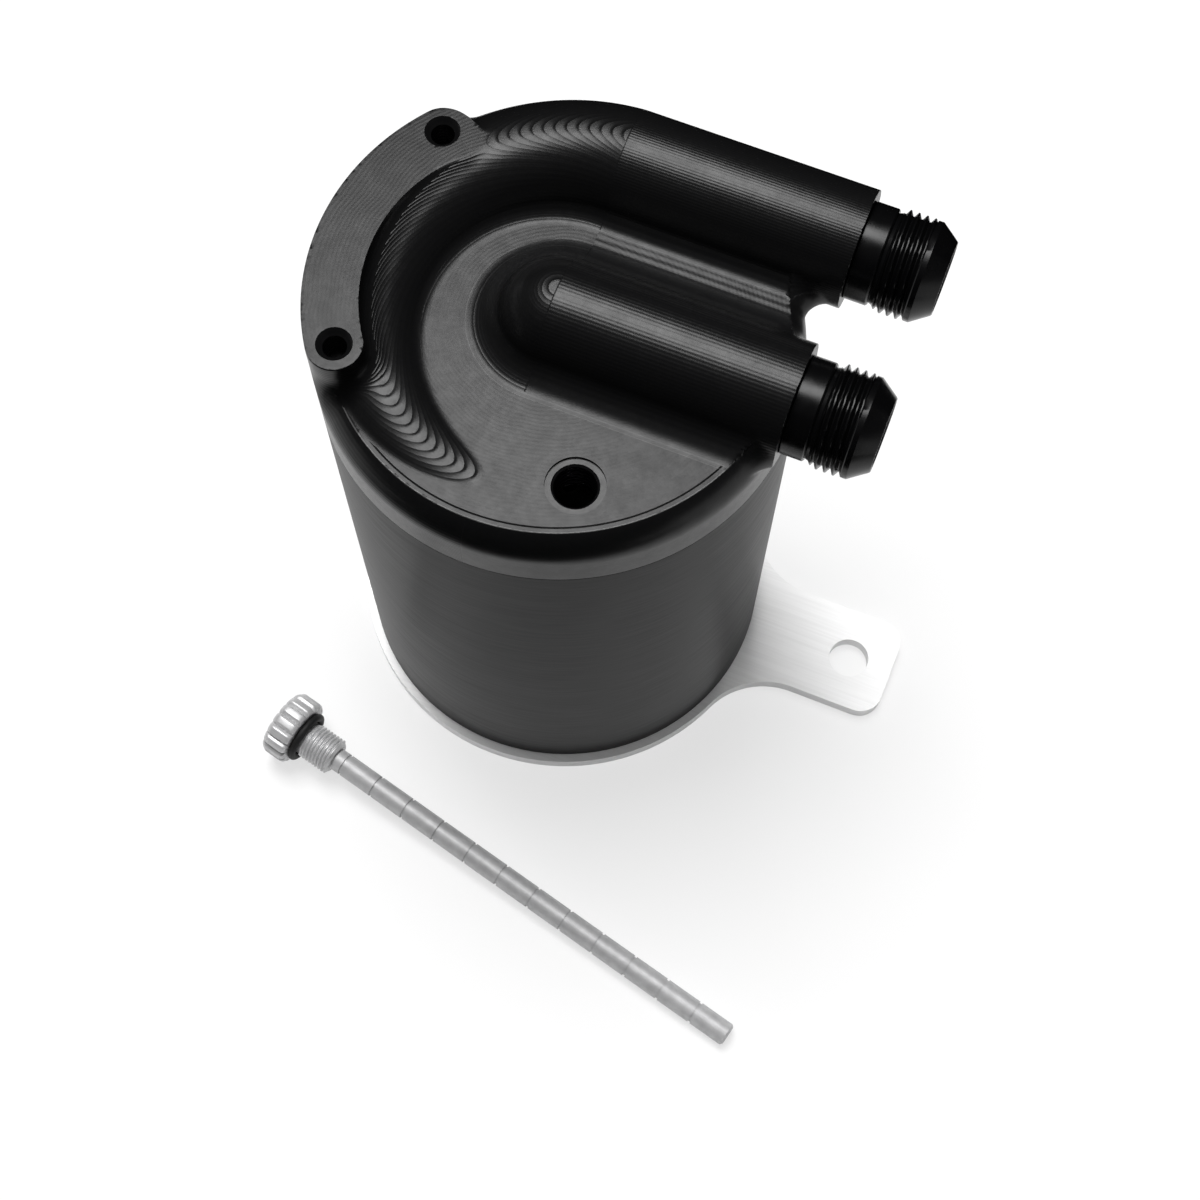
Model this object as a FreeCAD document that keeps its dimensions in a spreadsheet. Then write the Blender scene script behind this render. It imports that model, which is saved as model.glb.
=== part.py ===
import FreeCAD, Part
import math
import os
import re
import Sketcher

# Oil catch can: a round cup on a flat bracket, with a milled screw-on lid.
# Millimetres, +Z up. The origin is on the can's axis, at the underside of the bracket.
# +X points along the two hose fittings, towards their noses.

SIZES = {
    "can_radius": 52.0,
    "wall": 3.5,
    "base_thickness": 6.0,
    "base_edge": 0.6,
    "base_round": 4.0,
    "seam_height": 128.4,
    "mouth_edge": 0.5,
    "plate_thickness": 4.0,
    "plate_lip": 2.0,
    "arm_end": 91.5,
    "arm_width": 26.8,
    "arm_offset": 5.4,
    "arm_corner": 6.0,
    "arm_root": 20.0,
    "bolt_hole_radius": 5.25,
    "bolt_hole_from_end": 11.7,
    "base_screw_circle": 32.0,
    "base_screw_radius": 2.5,
    "base_screw_head_radius": 4.8,
    "base_screw_length": 8.0,
    "base_screw_recess": 0.1,
    "lid_height": 15.4,
    "rim_round": 5.7,
    "lid_skin": 9.4,
    "spigot_length": 12.0,
    "spigot_wall": 4.0,
    "spigot_clearance": 0.1,
    "boss_wall": 4.0,
    "boss_height": 8.0,
    "ring_groove_depth": 2.2,
    "ring_groove_width": 2.8,
    "ring_groove_top": 4.0,
    "ring_clearance": 0.05,
    "tube_radius": 12.9,
    "tube_lift": 0.2,
    "tube_overhang": 0.3,
    "tube_inset": 0.1,
    "tube_bore": 7.0,
    "ramp_angle": 180.0,
    "pad_lift": 9.8,
    "pad_width": 11.8,
    "pad_half_angle": 36.0,
    "pad_hole_radius": 2.5,
    "pad_hole_depth": 8.0,
    "pad_hole_edge": 1.3,
    "dip_port_across": 17.5,
    "dip_port_back": -33.6,
    "dip_port_radius": 4.5,
    "dip_port_seat_radius": 6.3,
    "dip_port_seat_depth": 0.6,
    "dip_port_edge": 0.5,
    "port_radius": 9.5,
    "port_depth": 14.0,
    "port_seat_lap": 0.05,
    "port_seat_depth": 2.4,
    "shank_clearance": 0.1,
    "shank_length": 13.0,
    "shank_neck": 1.3,
    "collar_radius": 10.55,
    "collar_length": 5.3,
    "relief_depth": 1.5,
    "relief_width": 0.9,
    "thread_radius": 11.11,
    "thread_end": 14.7,
    "nose_radius": 8.0,
    "nose_length": 18.8,
    "fitting_bore": 6.9,
    "nose_edge": 0.4,
    "drop_tube_radius": 7.0,
    "drop_tube_wall": 1.5,
    "drop_tube_socket": 10.4,
    "drop_tube_length": 36.8,
    "baffle_clearance": 0.9,
    "baffle_thickness": 2.0,
    "baffle_hole_radius": 2.0,
    "baffle_outer_circle": 32.0,
    "baffle_inner_circle": 12.0,
    "dip_pass_radius": 6.0,
    "post_circle": 24.0,
    "post_radius": 4.0,
    "post_length": 46.4,
    "post_stud_radius": 2.5,
    "post_stud_length": 4.5,
    "post_tap_radius": 2.0,
    "post_tap_depth": 8.0,
    "post_screw_head_radius": 3.5,
    "post_screw_head_height": 2.4,
    "post_screw_length": 8.0,
    "post_screw_slack": 0.2,
    "knob_radius": 9.0,
    "knob_length": 7.0,
    "knob_edge": 0.9,
    "flute_radius": 1.3,
    "flute_depth": 0.6,
    "plug_thread_depth": 0.5,
    "plug_length": 11.0,
    "rod_radius": 3.0,
    "rod_insert": 8.0,
    "rod_edge": 0.6,
    "stick_length": 141.0,
    "mark_pitch": 10.0,
    "mark_width": 0.7,
    "mark_depth": 0.35,
    "stick_ring_section": 2.0,
    "stick_start_across": -52.2,
    "stick_start_back": -68.7,
    "stick_heading": -13.0,
    "stick_lift": 0.01,
}

# Places that several pieces share, worked out from the sizes.
PLACES = {
    "plate_radius": "can_radius + plate_lip",
    "floor_height": "seam_height + lid_height",
    "underside": "seam_height + lid_height - lid_skin",
    "boss_foot": "seam_height + lid_height - lid_skin - boss_height",
    "boss_radius": "drop_tube_radius + boss_wall",
    "spigot_radius": "can_radius - wall - spigot_clearance",
    "spigot_foot": "seam_height - spigot_length",
    "tube_height": "seam_height + lid_height + tube_lift",
    "tube_end": "can_radius + tube_overhang",
    "inlet_back": "can_radius - tube_radius - tube_inset",
    "ramp_drop": "tube_lift + tube_radius",
    "pad_height": "seam_height + lid_height + pad_lift",
    "pad_circle": "can_radius - pad_width / 2",
    "port_seat_radius": "collar_radius - port_seat_lap",
    "drop_tube_foot": "boss_foot + drop_tube_socket - drop_tube_length",
    "baffle_top": "underside - post_length",
    "plug_radius": "dip_port_radius + plug_thread_depth",
}

POST_ANGLES = (30, 150, 270)
BASE_SCREW_COUNT = 4
BASE_SCREW_START = 45
BAFFLE_OUTER_COUNT = 12
BAFFLE_OUTER_START = 12.6
BAFFLE_INNER_COUNT = 6
FLUTE_COUNT = 16
MARK_COUNT = 12
NEAR = 0.01

doc = FreeCAD.newDocument("oil_catch_can")
sheet = doc.addObject("Spreadsheet::Sheet", "dims")
for row, (alias, value) in enumerate(SIZES.items(), start=1):
    sheet.set("A%d" % row, alias.replace("_", " "))
    sheet.set("B%d" % row, str(value))
    sheet.setAlias("B%d" % row, alias)
doc.recompute()


def sized(text):
    """An expression on the sheet's cells, from one that names sizes and places plainly."""
    def cell(match):
        word = match.group()
        if word in PLACES:
            return "(%s)" % sized(PLACES[word])
        return "dims." + word if word in SIZES else word
    return re.sub(r"[a-z_]+", cell, str(text))


def value_of(text):
    """The number that such an expression gives now."""
    return float(sheet.evalExpression(sized(text)))


def bind(thing, **properties):
    """Bind properties to expressions. A double underscore stands for a dot."""
    for name, text in properties.items():
        thing.setExpression(name.replace("__", "."), sized(text))


def new_body(label):
    body = doc.addObject("PartDesign::Body", label)
    body.Label = label
    return body


def sketch_on(body, role, height="0"):
    """A sketch on one of the body's own base planes, moved out along its normal."""
    sketch = body.newObject("Sketcher::SketchObject", body.Label + "_sketch")
    plane = next(item for item in body.Origin.OriginFeatures if item.Role == role)
    sketch.AttachmentSupport = (plane, [""])
    sketch.MapMode = "FlatFace"
    bind(sketch, AttachmentOffset__Base__z=height)
    return sketch


def place_point(sketch, geometry, end, across, up):
    """Hold a point at its distances from the sketch's origin."""
    for kind, axis, text in (("DistanceX", -2, across), ("DistanceY", -1, up)):
        if str(text) == "0":
            sketch.addConstraint(Sketcher.Constraint("PointOnObject", geometry, end, axis))
        else:
            rule = Sketcher.Constraint(kind, -1, 1, geometry, end, value_of(text))
            number = sketch.addConstraint(rule)
            sketch.setExpression("Constraints[%d]" % number, sized(text))


def draw_outline(sketch, corners):
    """A closed outline of straight sides through the corners."""
    points = [FreeCAD.Vector(value_of(across), value_of(up), 0) for across, up in corners]
    first = sketch.GeometryCount
    for start, end in zip(points, points[1:] + points[:1]):
        sketch.addGeometry(Part.LineSegment(start, end), False)
    for index, (across, up) in enumerate(corners):
        side = first + index
        after = first + (index + 1) % len(corners)
        sketch.addConstraint(Sketcher.Constraint("Coincident", side, 2, after, 1))
        place_point(sketch, side, 1, across, up)


def draw_circle(sketch, across, up, radius):
    centre = FreeCAD.Vector(value_of(across), value_of(up), 0)
    normal = FreeCAD.Vector(0, 0, 1)
    ring = sketch.addGeometry(Part.Circle(centre, normal, value_of(radius)), False)
    place_point(sketch, ring, 3, across, up)
    number = sketch.addConstraint(Sketcher.Constraint("Radius", ring, value_of(radius)))
    sketch.setExpression("Constraints[%d]" % number, sized(radius))


def draw_circles(sketch, circle, angles, radius):
    """Equal circles at the given angles on a circle about the origin."""
    for angle in angles:
        across = "(%s) * cos(%s)" % (circle, angle)
        up = "(%s) * sin(%s)" % (circle, angle)
        draw_circle(sketch, across, up, radius)


def even_angles(count, start=0):
    return [start + 360.0 / count * index for index in range(count)]


def settle(body, feature, cuts):
    """Recompute, and stop if the feature added or took away nothing."""
    base = feature.BaseFeature
    earlier = base.Shape.Volume if base else 0.0
    doc.recompute()
    change = feature.Shape.Volume - earlier
    if (change > -NEAR) if cuts else (change < NEAR):
        raise RuntimeError("%s in %s changed nothing" % (feature.Name, body.Label))
    return feature


def extrude(body, sketch, length, cuts=False, reverse=False):
    kind = "PartDesign::Pocket" if cuts else "PartDesign::Pad"
    feature = body.newObject(kind, "Pocket" if cuts else "Pad")
    feature.Profile = sketch
    feature.Reversed = reverse
    bind(feature, Length=length)
    return settle(body, feature, cuts)


def turn(body, sketch, axis="V_Axis", cuts=False, angle="360", middle=False):
    """Turn a section about one of its sketch's axes."""
    kind = "PartDesign::Groove" if cuts else "PartDesign::Revolution"
    feature = body.newObject(kind, "Groove" if cuts else "Revolution")
    feature.Profile = sketch
    feature.ReferenceAxis = (sketch, [axis])
    feature.Midplane = middle
    bind(feature, Angle=angle)
    return settle(body, feature, cuts)


def wind(body, sketch, cuts=False):
    """Sweep a section down the ramp, about the can's axis."""
    kind = "PartDesign::SubtractiveHelix" if cuts else "PartDesign::AdditiveHelix"
    feature = body.newObject(kind, "Helix")
    feature.Profile = sketch
    feature.ReferenceAxis = (sketch, ["V_Axis"])
    feature.Mode = "height-turns-angle"
    feature.LeftHanded = True
    feature.Reversed = True
    feature.HasBeenEdited = True
    bind(feature, Height="ramp_drop", Turns="ramp_angle / 360")
    return settle(body, feature, cuts)


def edges_of(feature, wanted):
    """The names of the edges that a test picks."""
    edges = enumerate(feature.Shape.Edges, start=1)
    return ["Edge%d" % number for number, edge in edges if not edge.Degenerated and wanted(edge)]


def is_circle(edge, radius=None, height=None):
    curve = edge.Curve
    if not isinstance(curve, Part.Circle):
        return False
    if radius is not None and abs(curve.Radius - value_of(radius)) > NEAR:
        return False
    return height is None or abs(curve.Center.z - value_of(height)) < NEAR


def dress(body, kind, wanted, size):
    """Round or bevel the edges that a test picks."""
    base = body.Tip
    feature = body.newObject("PartDesign::" + kind, kind)
    names = edges_of(base, wanted)
    if not names:
        raise RuntimeError("no edge to dress in " + body.Label)
    feature.Base = (base, names)
    bind(feature, **{"Radius" if kind == "Fillet" else "Size": size})
    doc.recompute()
    return feature


def make_cup():
    """The turned cup, with blind screw holes in the underside of its base."""
    body = new_body("cup")
    section = sketch_on(body, "XZ_Plane")
    inside = "plate_thickness + base_thickness"
    draw_outline(section, [
        ("0", "plate_thickness"),
        ("can_radius - base_edge", "plate_thickness"),
        ("can_radius", "plate_thickness + base_edge"),
        ("can_radius", "seam_height"),
        ("can_radius - wall + mouth_edge", "seam_height"),
        ("can_radius - wall", "seam_height - mouth_edge"),
        ("can_radius - wall", inside),
        ("0", inside),
    ])
    turn(body, section)
    dress(body, "Fillet", lambda edge: is_circle(edge, "can_radius - wall", inside), "base_round")
    holes = sketch_on(body, "XY_Plane", "plate_thickness")
    angles = even_angles(BASE_SCREW_COUNT, BASE_SCREW_START)
    draw_circles(holes, "base_screw_circle", angles, "base_screw_radius")
    depth = "base_screw_length + base_screw_recess - plate_thickness"
    extrude(body, holes, depth, cuts=True, reverse=True)
    return body


def make_bracket():
    """The flat bracket: a disc under the cup, and an arm with one bolt hole."""
    body = new_body("mounting_bracket")
    disc = sketch_on(body, "XY_Plane")
    draw_circle(disc, "0", "0", "plate_radius")
    extrude(body, disc, "plate_thickness")
    arm = sketch_on(body, "XY_Plane")
    low = "arm_offset - arm_width / 2"
    high = "arm_offset + arm_width / 2"
    inner = "plate_radius / 2"
    draw_outline(arm, [(inner, low), ("arm_end", low), ("arm_end", high), (inner, high)])
    extrude(body, arm, "plate_thickness")

    def upright(edge):
        start, end = edge.Vertexes[0].Point, edge.Vertexes[-1].Point
        level = abs(start.x - end.x) + abs(start.y - end.y)
        return level < NEAR and abs(start.z - end.z) > NEAR

    def at_end(edge):
        return upright(edge) and edge.Vertexes[0].Point.x > value_of("arm_end") - NEAR

    def at_root(edge):
        point = edge.Vertexes[0].Point
        reach = math.hypot(point.x, point.y)
        by_disc = abs(reach - value_of("plate_radius")) < NEAR
        by_arm = abs(abs(point.y - value_of("arm_offset")) - value_of("arm_width / 2")) < NEAR
        return upright(edge) and by_disc and by_arm and point.x > 0

    dress(body, "Fillet", at_end, "arm_corner")
    dress(body, "Fillet", at_root, "arm_root")
    hole = sketch_on(body, "XY_Plane")
    draw_circle(hole, "arm_end - bolt_hole_from_end", "arm_offset", "bolt_hole_radius")
    extrude(body, hole, "plate_thickness", cuts=True, reverse=True)
    angles = even_angles(BASE_SCREW_COUNT, BASE_SCREW_START)
    holes = sketch_on(body, "XY_Plane")
    draw_circles(holes, "base_screw_circle", angles, "base_screw_radius")
    extrude(body, holes, "plate_thickness", cuts=True, reverse=True)

    def at_head(edge):
        return is_circle(edge, "base_screw_radius", "0")

    flare = "base_screw_head_radius - base_screw_radius + base_screw_recess"
    dress(body, "Chamfer", at_head, flare)
    return body


def make_base_screw(number, angle):
    """A countersunk screw that holds the bracket to the cup, head down."""
    body = new_body("bracket_screw_%d" % number)
    section = sketch_on(body, "XZ_Plane")
    head = "base_screw_recess + base_screw_head_radius - base_screw_radius"
    draw_outline(section, [
        ("0", "base_screw_recess"),
        ("base_screw_head_radius", "base_screw_recess"),
        ("base_screw_radius", head),
        ("base_screw_radius", "base_screw_length + base_screw_recess"),
        ("0", "base_screw_length + base_screw_recess"),
    ])
    turn(body, section)
    bind(
        body,
        Placement__Base__x="base_screw_circle * cos(%s)" % angle,
        Placement__Base__y="base_screw_circle * sin(%s)" % angle,
    )
    return body


def make_lid():
    """The lid, milled from one billet: rim, spigot, two tubes, ramp and crescent pad."""
    body = new_body("lid")
    blank = sketch_on(body, "XZ_Plane")
    draw_outline(blank, [
        ("0", "spigot_foot"),
        ("can_radius", "spigot_foot"),
        ("can_radius", "floor_height"),
        ("0", "floor_height"),
    ])
    turn(body, blank)
    dress(body, "Fillet", lambda edge: is_circle(edge, "can_radius", "floor_height"), "rim_round")

    # The outlet tube runs to the can's axis, where it ends in a dome.
    outlet = sketch_on(body, "YZ_Plane")
    draw_circle(outlet, "0", "tube_height", "tube_radius")
    extrude(body, outlet, "tube_end")
    dome = body.newObject("PartDesign::AdditiveSphere", "Dome")
    bind(dome, Radius="tube_radius", Placement__Base__z="tube_height")
    settle(body, dome, cuts=False)

    # The inlet tube is straight, then winds down into the lid as a ramp.
    inlet = sketch_on(body, "YZ_Plane")
    draw_circle(inlet, "inlet_back", "tube_height", "tube_radius")
    extrude(body, inlet, "tube_end")
    ramp = sketch_on(body, "YZ_Plane")
    draw_circle(ramp, "inlet_back", "tube_height", "tube_radius")
    wind(body, ramp)

    # The crescent pad stands over the ramp, flush with the can's side.
    pad = sketch_on(body, "XZ_Plane")
    draw_outline(pad, [
        ("-can_radius", "underside"),
        ("pad_width - can_radius", "underside"),
        ("pad_width - can_radius", "pad_height"),
        ("-can_radius", "pad_height"),
    ])
    turn(body, pad, angle="2 * pad_half_angle", middle=True)
    pad_angles = ("180 - pad_half_angle", "180 + pad_half_angle")
    ends = sketch_on(body, "XY_Plane", "underside")
    draw_circles(ends, "pad_circle", pad_angles, "pad_width / 2")
    extrude(body, ends, "pad_height - underside")

    # Below the lid: the spigot, and the hollow with a boss for the drop tube.
    below = sketch_on(body, "XZ_Plane")
    clear = "can_radius + tube_radius"
    draw_outline(below, [
        ("0", "spigot_foot - tube_radius"),
        (clear, "spigot_foot - tube_radius"),
        (clear, "seam_height"),
        ("spigot_radius", "seam_height"),
        ("spigot_radius", "spigot_foot"),
        ("spigot_radius - spigot_wall", "spigot_foot"),
        ("spigot_radius - spigot_wall", "underside"),
        ("boss_radius", "underside"),
        ("boss_radius", "boss_foot"),
        ("0", "boss_foot"),
    ])
    turn(body, below, cuts=True)

    # The passages: inlet and ramp, then outlet and the bore down its boss.
    straight = sketch_on(body, "YZ_Plane")
    draw_circle(straight, "inlet_back", "tube_height", "tube_bore")
    draw_circle(straight, "0", "tube_height", "tube_bore")
    extrude(body, straight, "tube_end", cuts=True, reverse=True)
    passage = sketch_on(body, "YZ_Plane")
    draw_circle(passage, "inlet_back", "tube_height", "tube_bore")
    wind(body, passage, cuts=True)
    drop = sketch_on(body, "XY_Plane", "boss_foot")
    draw_circle(drop, "0", "0", "drop_tube_radius")
    extrude(body, drop, "tube_height - boss_foot", cuts=True, reverse=True)

    # Each tube ends in a threaded port with a seat for a sealing ring.
    for radius, depth in (("port_radius", "port_depth"), ("port_seat_radius", "port_seat_depth")):
        ports = sketch_on(body, "YZ_Plane", "tube_end")
        draw_circle(ports, "inlet_back", "tube_height", radius)
        draw_circle(ports, "0", "tube_height", radius)
        extrude(body, ports, depth, cuts=True)

    # Two blind threaded holes in the pad.
    holes = sketch_on(body, "XY_Plane", "pad_height")
    draw_circles(holes, "pad_circle", pad_angles, "pad_hole_radius")
    extrude(body, holes, "pad_hole_depth", cuts=True)

    def pad_mouth(edge):
        return is_circle(edge, "pad_hole_radius", "pad_height")

    dress(body, "Chamfer", pad_mouth, "pad_hole_edge")

    # The dipstick's port goes through the lid's floor.
    seat = sketch_on(body, "XY_Plane", "floor_height")
    draw_circle(seat, "dip_port_across", "dip_port_back", "dip_port_seat_radius")
    extrude(body, seat, "dip_port_seat_depth", cuts=True)
    port = sketch_on(body, "XY_Plane", "floor_height")
    draw_circle(port, "dip_port_across", "dip_port_back", "dip_port_radius")
    extrude(body, port, "lid_skin + tube_radius", cuts=True)

    def port_mouth(edge):
        return is_circle(edge, "dip_port_radius", "floor_height - dip_port_seat_depth")

    dress(body, "Chamfer", port_mouth, "dip_port_edge")

    # Blind holes take the studs of the baffle posts.
    studs = sketch_on(body, "XY_Plane", "underside")
    draw_circles(studs, "post_circle", POST_ANGLES, "post_stud_radius")
    extrude(body, studs, "post_stud_length", cuts=True, reverse=True)

    # The spigot's groove for the lid's sealing ring.
    groove = sketch_on(body, "XZ_Plane")
    top = "seam_height - ring_groove_top"
    draw_outline(groove, [
        ("spigot_radius - ring_groove_depth", top + " - ring_groove_width"),
        ("can_radius", top + " - ring_groove_width"),
        ("can_radius", top),
        ("spigot_radius - ring_groove_depth", top),
    ])
    turn(body, groove, cuts=True)
    return body


def make_ring(label, centre, section, height):
    """A sealing ring about a vertical axis."""
    body = new_body(label)
    sketch = sketch_on(body, "XZ_Plane")
    draw_circle(sketch, centre, height, section)
    turn(body, sketch)
    return body


def make_lid_seal():
    space = "ring_groove_depth + spigot_clearance"
    section = "(%s) / 2 - ring_clearance" % space
    centre = "can_radius - wall - (%s) / 2" % space
    height = "seam_height - ring_groove_top - ring_groove_width / 2"
    return make_ring("lid_seal", centre, section, height)


def set_by_port(body, back):
    """Put a piece that is turned about its own X axis at a tube's end."""
    bind(
        body,
        Placement__Base__x="tube_end",
        Placement__Base__y=back,
        Placement__Base__z="tube_height",
    )


def make_fitting(label, back):
    """A flare fitting: threaded shank, collar, hose thread and a coned nose."""
    body = new_body(label)
    section = sketch_on(body, "XZ_Plane")
    shank = "port_radius - shank_clearance"
    cone = "nose_length - thread_end"
    draw_outline(section, [
        ("-shank_length", "fitting_bore"),
        ("-shank_length", shank),
        ("-port_seat_depth", shank),
        ("-port_seat_depth", shank + " - shank_neck"),
        ("0", shank + " - shank_neck"),
        ("0", "collar_radius"),
        ("collar_length", "collar_radius"),
        ("collar_length", "thread_radius - relief_depth"),
        ("collar_length + relief_width", "thread_radius - relief_depth"),
        ("collar_length + relief_width + relief_depth / 2", "thread_radius"),
        ("thread_end", "thread_radius"),
        ("thread_end + (%s) * 0.03" % cone, "thread_radius - relief_depth / 10"),
        ("nose_length", "nose_radius"),
        ("nose_length", "fitting_bore + nose_edge"),
        ("nose_length - nose_edge", "fitting_bore"),
    ])
    turn(body, section, axis="H_Axis")
    set_by_port(body, back)
    return body


def make_port_seal(label, back):
    """The sealing ring between a fitting's collar and its port."""
    body = new_body(label)
    inner = "port_radius - shank_clearance - shank_neck + ring_clearance"
    outer = "port_seat_radius - ring_clearance"
    section = sketch_on(body, "XZ_Plane")
    draw_circle(
        section,
        "-port_seat_depth / 2",
        "(%s + %s) / 2" % (inner, outer),
        "(%s - (%s)) / 2" % (outer, inner),
    )
    turn(body, section, axis="H_Axis")
    set_by_port(body, back)
    return body


def make_drop_tube():
    """The tube that takes clean air from the middle of the can up to the outlet."""
    body = new_body("outlet_tube")
    section = sketch_on(body, "XZ_Plane")
    bore = "drop_tube_radius - drop_tube_wall"
    draw_outline(section, [
        (bore, "drop_tube_foot"),
        ("drop_tube_radius", "drop_tube_foot"),
        ("drop_tube_radius", "drop_tube_foot + drop_tube_length"),
        (bore, "drop_tube_foot + drop_tube_length"),
    ])
    turn(body, section)
    return body


def make_baffle():
    """The perforated plate that keeps caught oil from splashing up."""
    body = new_body("baffle_plate")
    disc = sketch_on(body, "XY_Plane", "baffle_top")
    draw_circle(disc, "0", "0", "can_radius - wall - baffle_clearance")
    extrude(body, disc, "baffle_thickness", reverse=True)
    holes = sketch_on(body, "XY_Plane", "baffle_top")
    outer = even_angles(BAFFLE_OUTER_COUNT, BAFFLE_OUTER_START)
    draw_circles(holes, "baffle_outer_circle", outer, "baffle_hole_radius")
    inner = even_angles(BAFFLE_INNER_COUNT)
    draw_circles(holes, "baffle_inner_circle", inner, "baffle_hole_radius")
    draw_circles(holes, "post_circle", POST_ANGLES, "post_tap_radius + post_screw_slack")
    draw_circle(holes, "dip_port_across", "dip_port_back", "dip_pass_radius")
    extrude(body, holes, "baffle_thickness", cuts=True)
    return body


def set_at_post(body, angle):
    bind(
        body,
        Placement__Base__x="post_circle * cos(%s)" % angle,
        Placement__Base__y="post_circle * sin(%s)" % angle,
    )


def make_post(number, angle):
    """A post that carries the baffle under the lid, with a stud and a tapped foot."""
    body = new_body("baffle_post_%d" % number)
    section = sketch_on(body, "XZ_Plane")
    draw_outline(section, [
        ("0", "baffle_top + post_tap_depth"),
        ("post_tap_radius", "baffle_top + post_tap_depth"),
        ("post_tap_radius", "baffle_top"),
        ("post_radius", "baffle_top"),
        ("post_radius", "underside"),
        ("post_stud_radius", "underside"),
        ("post_stud_radius", "underside + post_stud_length"),
        ("0", "underside + post_stud_length"),
    ])
    turn(body, section)
    set_at_post(body, angle)
    return body


def make_post_screw(number, angle):
    """A round-headed screw that holds the baffle to its post, from below."""
    body = new_body("baffle_screw_%d" % number)
    seat = "baffle_top - baffle_thickness"
    section = sketch_on(body, "XZ_Plane")
    draw_outline(section, [
        ("0", seat + " - post_screw_head_height"),
        ("post_screw_head_radius", seat + " - post_screw_head_height"),
        ("post_screw_head_radius", seat),
        ("post_tap_radius", seat),
        ("post_tap_radius", seat + " + post_screw_length"),
        ("0", seat + " + post_screw_length"),
    ])
    turn(body, section)
    foot = seat + " - post_screw_head_height"
    dress(
        body,
        "Fillet",
        lambda edge: is_circle(edge, "post_screw_head_radius", foot),
        "post_screw_head_height / 2",
    )
    set_at_post(body, angle)
    return body


def lay_down(body):
    """Lay a piece of the dipstick on the floor: the knob and the tip both touch it."""
    drop = value_of("knob_radius - rod_radius")
    tilt = math.atan2(drop, value_of("stick_length - knob_length"))
    reach = value_of("knob_length") * math.sin(tilt)
    height = value_of("knob_radius") * math.cos(tilt) + reach + value_of("stick_lift")
    down = FreeCAD.Rotation(FreeCAD.Vector(0, 1, 0), math.degrees(tilt))
    heading = FreeCAD.Rotation(FreeCAD.Vector(0, 0, 1), value_of("stick_heading"))
    start = FreeCAD.Vector(value_of("stick_start_across"), value_of("stick_start_back"), height)
    body.Placement = FreeCAD.Placement(start, heading.multiply(down))


def make_knob():
    """The dipstick's fluted knob, with its threaded plug bored for the rod."""
    body = new_body("dipstick_knob")
    plug_end = "knob_length + plug_length"
    section = sketch_on(body, "XZ_Plane")
    draw_outline(section, [
        ("0", "0"),
        ("0", "knob_radius - knob_edge"),
        ("knob_edge", "knob_radius"),
        ("knob_length - knob_edge / 2", "knob_radius"),
        ("knob_length", "knob_radius - knob_edge / 2"),
        ("knob_length", "plug_radius"),
        (plug_end, "plug_radius"),
        (plug_end, "rod_radius"),
        ("rod_insert", "rod_radius"),
        ("rod_insert", "0"),
    ])
    turn(body, section, axis="H_Axis")
    flutes = sketch_on(body, "YZ_Plane")
    circle = "knob_radius + flute_radius - flute_depth"
    draw_circles(flutes, circle, even_angles(FLUTE_COUNT), "flute_radius")
    extrude(body, flutes, "knob_length", cuts=True, reverse=True)
    lay_down(body)
    return body


def make_rod():
    """The dipstick's rod, with a groove for each level mark."""
    body = new_body("dipstick_rod")
    section = sketch_on(body, "XZ_Plane")
    draw_outline(section, [
        ("rod_insert", "0"),
        ("rod_insert", "rod_radius"),
        ("stick_length - rod_edge", "rod_radius"),
        ("stick_length", "rod_radius - rod_edge"),
        ("stick_length", "0"),
    ])
    turn(body, section, axis="H_Axis")
    marks = sketch_on(body, "XZ_Plane")
    for index in range(1, MARK_COUNT + 1):
        place = "stick_length - mark_pitch * %d" % index
        draw_outline(marks, [
            (place + " - mark_width / 2", "rod_radius - mark_depth"),
            (place + " + mark_width / 2", "rod_radius - mark_depth"),
            (place + " + mark_width / 2", "rod_radius + mark_depth"),
            (place + " - mark_width / 2", "rod_radius + mark_depth"),
        ])
    turn(body, marks, axis="H_Axis", cuts=True)
    lay_down(body)
    return body


def make_stick_seal():
    """The sealing ring under the dipstick's knob."""
    body = new_body("dipstick_seal")
    section = sketch_on(body, "XZ_Plane")
    draw_circle(
        section,
        "knob_length + stick_ring_section / 2",
        "plug_radius + ring_clearance + stick_ring_section / 2",
        "stick_ring_section / 2",
    )
    turn(body, section, axis="H_Axis")
    lay_down(body)
    return body


parts = [make_bracket(), make_cup(), make_lid(), make_lid_seal()]
for number, angle in enumerate(even_angles(BASE_SCREW_COUNT, BASE_SCREW_START), start=1):
    parts.append(make_base_screw(number, angle))
for name, back in (("inlet", "inlet_back"), ("outlet", "0")):
    parts.append(make_fitting(name + "_fitting", back))
    parts.append(make_port_seal(name + "_seal", back))
parts.append(make_drop_tube())
parts.append(make_baffle())
for number, angle in enumerate(POST_ANGLES, start=1):
    parts.append(make_post(number, angle))
    parts.append(make_post_screw(number, angle))
parts += [make_knob(), make_rod(), make_stick_seal()]

doc.recompute()
for item in doc.Objects:
    if "Invalid" in item.State or "Error" in item.State:
        raise RuntimeError("%s failed: %s" % (item.Name, item.State))
for piece in parts:
    if piece.Shape.isNull() or not piece.Shape.isValid():
        raise RuntimeError("%s has no valid shape" % piece.Label)

os.makedirs("parts", exist_ok=True)
for piece in parts:
    piece.Shape.exportStep("parts/%s.step" % piece.Label)
    box = piece.Shape.BoundBox
    print("%-18s solids %d volume %10.1f  z %.2f to %.2f" % (
        piece.Label, len(piece.Shape.Solids), piece.Shape.Volume, box.ZMin, box.ZMax))
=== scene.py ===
import math

import bpy
import numpy as np
from mathutils import Matrix, Vector


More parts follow.
